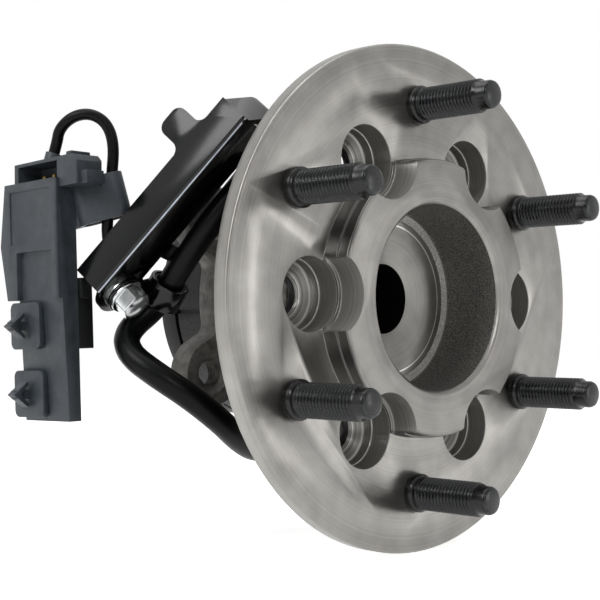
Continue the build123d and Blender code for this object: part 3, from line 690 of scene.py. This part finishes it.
# Electrocoat on sheet steel: black, glossy, with a faint orange peel
COATED = Finish("electrocoated_steel", ("020303", "060708"), (0.13, 0.2), patch=5.0, grain=0.5,
                relief=0.003, specular=0.32)
# Painted highlight along the bend, where it catches the light: the coat shown as rubbed thin to pale metal
BEND_HIGHLIGHT = Finish("painted_bend_highlight", ("8B909B", "A9AEB8"), (0.25, 0.38), patch=3.0, grain=0.4,
                   relief=0.004, metallic=0.85)
# Zinc plate: bright and slightly cloudy
ZINC = Finish("zinc_plated_steel", ("B9BCBE", "D2D4D6"), (0.14, 0.22), patch=4.0, grain=0.25,
              relief=0.002, metallic=1.0)
# Glass filled nylon, grey: matt with a fine moulded grain
GREY_NYLON = Finish("grey_nylon", ("2A2F34", "363C42"), (0.42, 0.58), patch=5.0, grain=0.35,
                    relief=0.02, specular=0.4)
# Glass filled nylon, black
BLACK_NYLON = Finish("black_nylon", ("0A0B0C", "121315"), (0.42, 0.58), patch=5.0, grain=0.35,
                     relief=0.02, specular=0.25)
# Unfilled nylon: creamy and smooth
CAGE_NYLON = Finish("natural_nylon", ("C9BC96", "D2C6A2"), (0.35, 0.45), patch=5.0, grain=0.35,
                    relief=0.01)
# Nitrile rubber: black and dull
NITRILE = Finish("nitrile_rubber", ("0E0E0E", "161616"), (0.5, 0.65), patch=4.0, grain=0.3,
                 relief=0.01, specular=0.3)
# Extruded cable rubber: black, smooth, with a soft broad highlight
CABLE = Finish("cable_rubber", ("030404", "080909"), (0.3, 0.4), patch=6.0, grain=0.4,
               relief=0.01, specular=0.12)
# Stamped brass, darkened: painted shade, as the terminals sit deep in the plug's mouth
SHADED_BRASS = Finish("brass", ("7A6232", "8A713E"), (0.3, 0.42), patch=3.0, grain=0.3,
               relief=0.003, metallic=1.0)


@dataclass(frozen=True)
class Lamp:
    """A square soft lamp that faces the object: place and side in metres, power in watts."""

    name: str
    spot: tuple[float, float, float]
    side: float
    power: float

    def hang(self) -> None:
        """Add the lamp to the scene."""
        data = bpy.data.lights.new(self.name, "AREA")
        data.energy = self.power
        data.size = self.side
        lamp = bpy.data.objects.new(self.name, data)
        lamp.location = self.spot
        lamp.rotation_mode = "QUATERNION"
        lamp.rotation_quaternion = (-Vector(self.spot)).to_track_quat("-Z", "Y")
        bpy.context.scene.collection.objects.link(lamp)


@dataclass
class Studio:
    """Camera, floor and lamps. The camera's place and the floor's height are millimetres."""

    position: tuple[float, float, float] = (-371.2, -319.5, -14.6)
    azimuth: float = -44.32
    elevation: float = -1.60
    roll: float = 0.42
    focal_pixels: float = 1353.8
    image_width: float = 600.0
    sensor: float = 36.0
    clip_start: float = 0.01
    floor_height: float = -91.4
    floor_size: float = 6.0
    floor_colour: str = "F4F4F2"
    floor_glow: float = 0.8
    fill_level: float = 0.22
    room_level: float = 0.42
    room_from: float = 0.3
    room_full: float = 0.85
    lamps: tuple[Lamp, ...] = (
        Lamp("key_lamp", (-1.45, 0.05, 1.0), 0.8, 15.0),
        Lamp("upper_fan_lamp", (0.80, -1.23, 0.17), 0.2, 0.75),
        Lamp("lower_fan_lamp", (0.53, -0.82, -0.055), 0.06, 0.25),
        Lamp("top_lamp", (-0.2, 0.1, 1.5), 1.0, 8.0),
        Lamp("glint_lamp", (-0.63, -0.99, 0.6), 0.15, 2.0),
    )

    def build(self) -> None:
        """Set up the camera, the world, the floor and the lamps."""
        self.camera()
        self.world()
        self.floor()
        for lamp in self.lamps:
            lamp.hang()
        bpy.context.scene.view_settings.view_transform = "Standard"

    def camera(self) -> None:
        """Place the camera as the photograph was taken."""
        turn, tilt, roll = (math.radians(value) for value in (self.azimuth, self.elevation, self.roll))
        back = Vector((math.sin(turn) * math.cos(tilt), -math.cos(turn) * math.cos(tilt), math.sin(tilt)))
        right = Vector((math.cos(turn), math.sin(turn), 0))
        up = back.cross(right)
        image_right = math.cos(roll) * right + math.sin(roll) * up
        image_up = -math.sin(roll) * right + math.cos(roll) * up
        data = bpy.data.cameras.new("camera")
        data.sensor_width = self.sensor
        data.lens = self.focal_pixels * self.sensor / self.image_width
        data.clip_start = self.clip_start
        camera = bpy.data.objects.new("camera", data)
        turn_matrix = Matrix((image_right, image_up, back)).transposed()
        camera.matrix_world = Matrix.Translation(Vector(self.position) * MM) @ turn_matrix.to_4x4()
        bpy.context.scene.collection.objects.link(camera)
        bpy.context.scene.camera = camera

    def seen_directly(self, tree: Tree) -> Socket:
        """Tell the rays that see a surface from those that only light others.

        Args:
            tree: the node tree that asks.

        Returns:
            One for camera, glossy and transmission rays and nought for the rest.
        """
        path = add_node(tree, "ShaderNodeLightPath").outputs
        seen = path["Is Camera Ray"]
        for ray in ("Is Glossy Ray", "Is Transmission Ray"):
            seen = add_node(tree, "ShaderNodeMath", {"operation": "MAXIMUM"},
                            {0: seen, 1: path[ray]}).outputs[0]
        return seen

    def world(self) -> None:
        """White where it is seen, darker behind the camera, and a dimmer grey where it only lights."""
        world = bpy.data.worlds.new("studio")
        bpy.context.scene.world = world
        world.use_nodes = True
        tree = world.node_tree
        tree.nodes.clear()
        way = add_node(tree, "ShaderNodeTexCoord").outputs["Generated"]
        turn = math.radians(self.azimuth)
        camera_side = (math.sin(turn), -math.cos(turn), 0.0)
        facing = add_node(tree, "ShaderNodeVectorMath", {"operation": "DOT_PRODUCT"},
                          {0: way, 1: camera_side}).outputs["Value"]
        seen = add_node(tree, "ShaderNodeMapRange", inputs={
            "Value": facing, "From Min": self.room_from, "From Max": self.room_full,
            "To Min": 1.0, "To Max": self.room_level}).outputs[0]
        # Inputs 2 and 3 are the level for rays that only light and the level that is seen
        level = add_node(tree, "ShaderNodeMix", {"data_type": "FLOAT"}, {
            0: self.seen_directly(tree), 2: self.fill_level, 3: seen}).outputs[0]
        light = add_node(tree, "ShaderNodeBackground", inputs={"Color": (1, 1, 1, 1), "Strength": level})
        add_node(tree, "ShaderNodeOutputWorld", inputs={"Surface": light.outputs[0]})

    def floor(self) -> None:
        """A plain pale floor that keeps a light shadow."""
        deselect()
        bpy.ops.mesh.primitive_plane_add(size=self.floor_size, location=(0, 0, self.floor_height * MM))
        floor = bpy.context.object
        floor.name = "floor"
        made = bpy.data.materials.new("studio_floor")
        made.use_nodes = True
        tree = made.node_tree
        tree.nodes.clear()
        matt = add_node(tree, "ShaderNodeBsdfDiffuse", inputs={"Color": linear(self.floor_colour)})
        share = add_node(tree, "ShaderNodeMath", {"operation": "MULTIPLY"},
                         {0: self.seen_directly(tree), 1: self.floor_glow}).outputs[0]
        glow = add_node(tree, "ShaderNodeEmission", inputs={"Color": (1, 1, 1, 1), "Strength": share})
        both = add_node(tree, "ShaderNodeAddShader", inputs={0: matt.outputs[0], 1: glow.outputs[0]})
        add_node(tree, "ShaderNodeOutputMaterial", inputs={"Surface": both.outputs[0]})
        floor.data.materials.append(made)
        deselect()


@dataclass
class HubUnit:
    """Flange, studs and the pieces that turn with them. Sizes in millimetres."""

    edge: float = 0.3
    edge_angle: float = 30.0
    nut_edge: float = 0.5
    stud_count: int = 6
    stud_circle: float = 69.85
    stud_first: float = 30.0
    stud_radius: float = 6.0
    stud_reach: float = 34.2
    nose_radius: float = 4.95
    nose_length: float = 4.2
    nose_chamfer: float = 1.2
    nose_round: float = 0.35
    nose_gap: float = 1.1
    worn_radius: float = 3.9
    worn_depth: float = 0.4
    worn_crest: float = 0.2
    collar_radius: float = 6.9
    collar_length: float = 2.5
    collar_lead: float = 0.5
    collar_chamfer: float = 0.25
    collar_round: float = 0.3
    knurl_radius: float = 6.6
    knurl_gap: float = 0.1
    head_radius: float = 9.0
    head_start: float = 12.0
    head_thick: float = 4.0
    head_chamfer: float = 0.4
    pitch: float = 1.5
    depth: float = 0.85
    flank_slope: float = 1.45
    crest_share: float = 0.15
    thread_end: float = -4.0
    shank_share: float = 0.98
    rings_per_pitch: int = 8
    segments: int = 32

    @property
    def thread_start(self) -> float:
        """Return the height at which the thread begins."""
        return -self.stud_reach + self.nose_length + self.nose_gap

    def build(self) -> None:
        """Dress the CAD nodes and make the threaded studs."""
        stand_in("hub_flange", "hub_forging", TURNED.material(), Body.HUB, "hub_steel",
                 width=self.edge, angle=self.edge_angle)
        dress_nodes(GROUND.material(), "inner_ring", "tone_ring", "spindle_washer", "seal_slinger")
        stand_in("spindle_nut", "spindle_lock_nut", ZINC.material(), Body.HUB, "zinc_steel",
                 width=self.nut_edge)
        self.studs()

    def stud_profile(self) -> Profile:
        """Outline the stud, with a ring for each thread step.

        Returns:
            Its corners as (radius, y) in metres.
        """
        tip = -self.stud_reach
        start = self.thread_start
        count = round((self.thread_end - start) / self.pitch * self.rings_per_pitch)
        step = (self.thread_end - start) / count
        rings = [(self.stud_radius, start + index * step) for index in range(count + 1)]
        head_end = self.head_start + self.head_thick
        corners = [
            (0, tip),
            (self.nose_radius - self.nose_chamfer, tip),
            (self.nose_radius - self.nose_round, tip + self.nose_round),
            (self.nose_radius, tip + self.nose_chamfer),
            (self.nose_radius, tip + self.nose_length),
            *rings,
            (self.stud_radius, -self.collar_length - self.collar_lead),
            (self.collar_radius - self.collar_chamfer, -self.collar_length),
            (self.collar_radius, -self.collar_length + self.collar_round),
            (self.collar_radius, 0.0),
            (self.knurl_radius, self.knurl_gap),
            (self.knurl_radius, self.head_start - self.knurl_gap),
            (self.head_radius, self.head_start),
            (self.head_radius, head_end - self.head_chamfer),
            (self.head_radius - self.head_chamfer, head_end),
            (0, head_end),
        ]
        return [(radius * MM, height * MM) for radius, height in corners]

    def cut_thread(self, stud: Piece) -> None:
        """Move the shank's rings in and out along a helix.

        Args:
            stud: the plain stud, on the Y axis.
        """
        start = self.thread_start * MM
        end = self.thread_end * MM
        fade = self.pitch * MM
        least_radius = self.stud_radius * MM * self.shank_share
        for vertex in stud.data.vertices:
            place = vertex.co
            radius = math.hypot(place.x, place.z)
            if not start - SLACK <= place.y <= end + SLACK or radius < least_radius:
                continue
            tooth = abs(2 * thread_phase(place, self.pitch) - 1)
            share = min(1.0, max(0.0, (1 - tooth) * self.flank_slope - self.crest_share))
            cut = self.depth * MM * share
            cut *= min(1.0, (end - place.y) / fade)
            move_inward(place, radius, cut)

    def wear(self, stud: Piece) -> None:
        """Give the stud's end ring and its thread crests the worn finish.

        Args:
            stud: the threaded stud, on the Y axis.
        """
        point_end = (self.worn_depth - self.stud_reach) * MM
        crest_radius = (self.stud_radius - self.worn_crest) * MM
        for face in stud.data.polygons:
            radius = math.hypot(face.center.x, face.center.z)
            on_point = face.center.y < point_end and radius > self.worn_radius * MM
            in_thread = self.thread_start * MM < face.center.y < self.thread_end * MM
            if on_point or (in_thread and radius > crest_radius):
                face.material_index = SECOND_FINISH

    def studs(self) -> None:
        """Model one stud and copy it round the circle."""
        first = turned_piece("wheel_stud_1", self.stud_profile(), self.segments)
        self.cut_thread(first)
        smooth(first, THREAD_ANGLE)
        dress(first, PHOSPHATE.material())
        first.data.materials.append(WORN.material())
        self.wear(first)
        for index, stud in enumerate(numbered_copies(first, "wheel_stud", self.stud_count)):
            angle = math.radians(self.stud_first + index * 360 / self.stud_count)
            centre = Vector((math.cos(angle), 0, math.sin(angle))) * self.stud_circle * MM
            stud.data.transform(Matrix.Translation(centre) @ Matrix.Rotation(-angle, 4, "Y"))
            seat(stud, Body.HUB, "stud_steel", "wheel_studs")


@dataclass
class BearingUnit:
    """Housing, cover, seal, balls and cages. Sizes in millimetres."""

    ring_edge: float = 0.6
    ring_edge_angle: float = 30.0
    cover_edge: float = 0.5
    ear_circle: float = 59.0
    ear_angle: float = 28.0
    hole_radius: float = 5.1
    wall: float = 0.25
    pitch: float = 1.5
    rise: float = 0.75
    flank_slope: float = 1.4
    root_share: float = 0.2
    thread_front: float = 54.3
    thread_back: float = 59.8
    rings_per_pitch: int = 8
    segments: int = 32

    def thread_profile(self) -> Profile:
        """Outline a thin sleeve, with rings along its inside.

        Returns:
            Its closed outline as (radius, y) in metres.
        """
        outer = self.hole_radius + self.wall
        count = round((self.thread_back - self.thread_front) / self.pitch * self.rings_per_pitch)
        step = (self.thread_back - self.thread_front) / count
        inside = [(self.hole_radius, self.thread_front + index * step) for index in range(count + 1)]
        corners = [(outer, self.thread_front), *inside, (outer, self.thread_back), (outer, self.thread_front)]
        return [(radius * MM, height * MM) for radius, height in corners]

    def ear_threads(self, material: bpy.types.Material) -> None:
        """Model one internal thread and copy it to the four ears.

        Args:
            material: the housing's finish.
        """
        first = turned_piece("ear_thread_1", self.thread_profile(), self.segments)
        for vertex in first.data.vertices:
            place = vertex.co
            radius = math.hypot(place.x, place.z)
            if radius > (self.hole_radius + self.wall / 2) * MM:
                continue
            tooth = abs(2 * thread_phase(place, self.pitch) - 1)
            crest = min(1.0, max(0.0, tooth * self.flank_slope - self.root_share))
            move_inward(place, radius, self.rise * MM * crest)
        smooth(first, THREAD_ANGLE)
        dress(first, material)
        angles = (self.ear_angle, 180 - self.ear_angle, 180 + self.ear_angle, -self.ear_angle)
        for thread, angle in zip(numbered_copies(first, "ear_thread", len(angles)), angles):
            turn = math.radians(angle)
            centre = Vector((math.cos(turn), 0, math.sin(turn))) * self.ear_circle * MM
            thread.data.transform(Matrix.Translation(centre))
            seat(thread, Body.HOUSING, "housing_casting")

    def build(self) -> None:
        """Dress the bearing's nodes and thread the ear holes."""
        dress_nodes(GROUND.material(), "balls_outboard", "balls_inboard")
        dress_nodes(CAGE_NYLON.material(), "ball_cage_outboard", "ball_cage_inboard")
        dress_nodes(NITRILE.material(), "outboard_seal")
        forged = FORGED.material()
        stand_in("bearing_housing", "bearing_outer_ring", forged, Body.HOUSING, "housing_casting",
                 width=self.ring_edge, segments=3, angle=self.ring_edge_angle)
        self.ear_threads(forged)
        stand_in("inboard_cover", "rear_cover", BLACK_NYLON.material(), Body.HOUSING, "black_plastic",
                 width=self.cover_edge)


@dataclass
class SensorHarness:
    """Sensor, boot, conduit, sleeve and lead, with the routes of the part's source in millimetres."""

    sensor_edge: float = 0.4
    conduit_radius: float = 4.6
    lead_radius: float = 2.0
    conduit_route: list = field(default_factory=lambda: [
        (-25.0, 44.5, -56.5), (-38.0, 44.5, -55.4),
        (-51.0, 38.5, -51.0), (-63.5, 34.5, -43.5), (-75.0, 37.5, -34.8), (-83.5, 45.5, -27.3),
        (-87.0, 56.0, -20.5), (-82.3, 64.0, -13.0), (-71.0, 60.7, -3.6), (-70.0, 53.4, 6.0),
        (-67.9, 44.0, 17.8), (-63.9, 36.0, 28.5), (-57.6, 31.0, 38.5), (-50.5, 31.3, 46.6),
        (-44.3, 37.8, 53.2)])
    lead_route: list = field(default_factory=lambda: [
        (-37.6, 44.8, 60.3), (-32.35, 50.3, 65.9), (-30.4, 60.5, 67.7), (-33.4, 70.0, 64.2),
        (-40.6, 76.1, 56.1), (-50.0, 75.0, 45.0), (-57.5, 77.5, 33.5), (-63.0, 78.0, 24.5),
        (-68.0, 76.3, 15.3), (-74.0, 72.9, 9.5), (-81.8, 68.5, 8.7), (-88.4, 64.9, 13.8),
        (-91.7, 63.1, 21.5), (-91.4, 62.2, 30.5), (-90.8, 61.6, 41.0), (-90.4, 61.0, 52.0),
        (-92.2, 62.7, 59.4), (-96.2, 66.7, 62.9), (-100.2, 71.9, 62.0), (-102.3, 76.9, 57.8),
        (-101.65, 79.2, 53.3), (-102.4, 79.9, 49.4)])

    def build(self) -> None:
        """Make both cables and dress the rest."""
        rubber = CABLE.material()
        for node, name, route, radius in (
                ("sensor_conduit", "sensor_cable_sheath", self.conduit_route, self.conduit_radius),
                ("connector_lead", "connector_cable", self.lead_route, self.lead_radius)):
            cable = cable_tube(name, route, radius)
            dress(cable, rubber)
            seat(cable, Body.HOUSING, "cable_rubber", node)
        dress_nodes(rubber, "conduit_end_sleeve", "sensor_boot")
        stand_in("abs_sensor", "speed_sensor", BLACK_NYLON.material(), Body.HOUSING, "black_plastic",
                 width=self.sensor_edge)
        dress_nodes(ZINC.material(), "sensor_screw")


@dataclass
class BracketUnit:
    """Sheet bracket with its cable clamp and bolt. Sizes in millimetres."""

    edge: float = 0.45
    clamp_edge: float = 0.25
    bolt_edge: float = 0.3
    along: tuple[float, float, float] = (0.3656, -0.5528, 0.7488)
    edgeway: tuple[float, float, float] = (-0.192, 0.7424, 0.6418)
    highlight_from: float = 0.5
    highlight_to: float = 0.8

    def paint_bend_highlight(self, bracket: Piece) -> None:
        """Give the middle of the bend the pale finish that paints its highlight.

        Args:
            bracket: the sheet bracket.
        """
        web = -Vector(self.edgeway)
        strip = Vector(self.along).cross(Vector(self.edgeway))
        # The bend's painted highlight: a pale metal finish on its middle faces
        bracket.data.materials.append(BEND_HIGHLIGHT.material())
        for face in bracket.data.polygons:
            toward_strip = face.normal.dot(strip)
            if self.highlight_from < face.normal.dot(web) and self.highlight_from < toward_strip < self.highlight_to:
                face.material_index = SECOND_FINISH

    def build(self) -> None:
        """Round the sheet edges and dress the fasteners."""
        coat = COATED.material()
        bracket = softened("cable_bracket", "sheet_bracket", self.edge)
        dress(bracket, coat)
        self.paint_bend_highlight(bracket)
        seat(bracket, Body.HOUSING, "black_paint", "cable_bracket")
        stand_in("cable_clamp", "clamp_band", coat, Body.HOUSING, "black_paint", width=self.clamp_edge)
        dress_nodes(NITRILE.material(), "clamp_cushion")
        zinc = ZINC.material()
        stand_in("bracket_bolt", "flange_bolt", zinc, Body.HOUSING, "zinc_steel", width=self.bolt_edge)
        dress_nodes(zinc, "clamp_washer", "bracket_nut")


@dataclass
class ConnectorUnit:
    """Carrier, clips, plug body, terminals and latch. Sizes in millimetres."""

    edge: float = 0.35
    clip_edge: float = 0.3

    def build(self) -> None:
        """Round the moulded edges and dress the pieces."""
        grey = GREY_NYLON.material()
        for node, name in (("connector_carrier", "carrier_moulding"), ("push_clips", "push_clip_pair"),
                           ("connector_housing", "plug_body"), ("connector_latch", "plug_latch")):
            stand_in(node, name, grey, Body.HOUSING, "grey_plastic", width=self.edge)
        stand_in("rear_clip", "strip_clip", BLACK_NYLON.material(), Body.HOUSING, "black_plastic",
                 width=self.clip_edge)
        dress_nodes(SHADED_BRASS.material(), "connector_terminals")


def main() -> None:
    """Build the units in order."""
    logging.basicConfig(level=logging.INFO, format="%(message)s")
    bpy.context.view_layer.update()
    Studio().build()
    for unit in (SensorHarness(), HubUnit(), BearingUnit(), BracketUnit(), ConnectorUnit()):
        unit.build()


if __name__ == "__main__":
    main()
